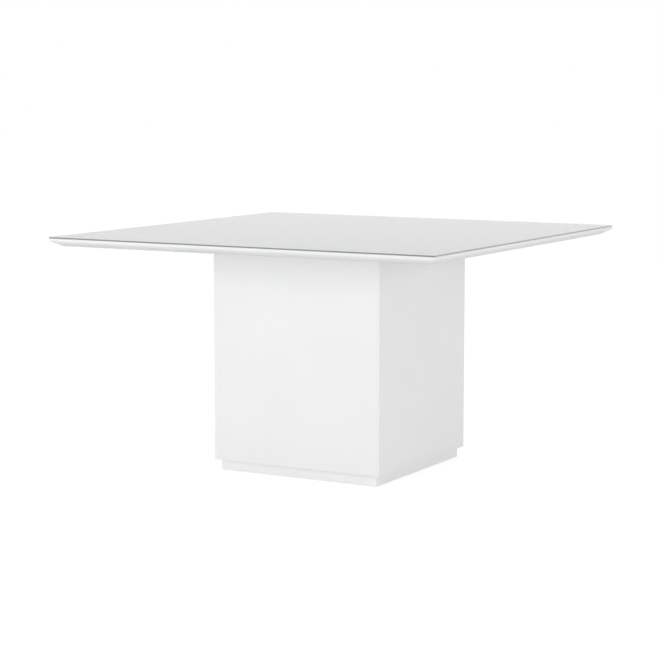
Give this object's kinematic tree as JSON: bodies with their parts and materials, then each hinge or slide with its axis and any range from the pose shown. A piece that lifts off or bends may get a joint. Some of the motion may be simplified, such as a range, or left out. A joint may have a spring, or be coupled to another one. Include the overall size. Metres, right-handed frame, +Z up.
{
  "type": "square dining table",
  "caption": "Square dining table with a glass sheet over a bevelled lacquered top, on a mitred box pedestal with a recessed plinth and levelling feet.",
  "frame": {"origin": "on the floor, under the middle of the table", "axes": "+Z up, +X to the right of someone who faces the front panel, -Y out of the front panel"},
  "size_m": [1.37, 1.37, 0.78],
  "materials": {
    "white_lacquer": "satin white lacquer",
    "clear_glass": "polished",
    "clear_silicone": "clear, soft",
    "softwood": "planed, unfinished",
    "zinc_steel": "zinc plated",
    "black_plastic": "matt"
  },
  "bodies": {
    "table": {"top_panel": "white_lacquer", "side_panel_front": "white_lacquer", "plinth_rail_front": "white_lacquer", "side_panel_right": "white_lacquer", "plinth_rail_right": "white_lacquer", "side_panel_back": "white_lacquer", "plinth_rail_back": "white_lacquer", "side_panel_left": "white_lacquer", "plinth_rail_left": "white_lacquer", "glass_top": "clear_glass", "glass_pads": "clear_silicone", "mounting_rail_front": "softwood", "mounting_rail_right": "softwood", "mounting_rail_back": "softwood", "mounting_rail_left": "softwood", "corner_block_front_left": "softwood", "foot_block_front_left": "softwood", "corner_block_front_right": "softwood", "foot_block_front_right": "softwood", "corner_block_back_right": "softwood", "foot_block_back_right": "softwood", "corner_block_back_left": "softwood", "foot_block_back_left": "softwood", "top_bolts": "zinc_steel", "bolt_washers": "zinc_steel", "top_inserts": "zinc_steel", "foot_inserts": "zinc_steel", "mounting_rail_screws": "zinc_steel", "plinth_screws": "zinc_steel"},
    "foot_front_left": {"foot_stud_front_left": "zinc_steel", "foot_base_front_left": "black_plastic"},
    "foot_front_right": {"foot_stud_front_right": "zinc_steel", "foot_base_front_right": "black_plastic"},
    "foot_back_right": {"foot_stud_back_right": "zinc_steel", "foot_base_back_right": "black_plastic"},
    "foot_back_left": {"foot_stud_back_left": "zinc_steel", "foot_base_back_left": "black_plastic"}
  },
  "joints": [
    {"name": "foot_front_left_level", "type": "slide", "parent": "table", "child": "foot_front_left", "axis": [0, 0, -1], "range_m": [0, 0.012]},
    {"name": "foot_front_right_level", "type": "slide", "parent": "table", "child": "foot_front_right", "axis": [0, 0, -1], "range_m": [0, 0.012]},
    {"name": "foot_back_right_level", "type": "slide", "parent": "table", "child": "foot_back_right", "axis": [0, 0, -1], "range_m": [0, 0.012]},
    {"name": "foot_back_left_level", "type": "slide", "parent": "table", "child": "foot_back_left", "axis": [0, 0, -1], "range_m": [0, 0.012]}
  ]
}
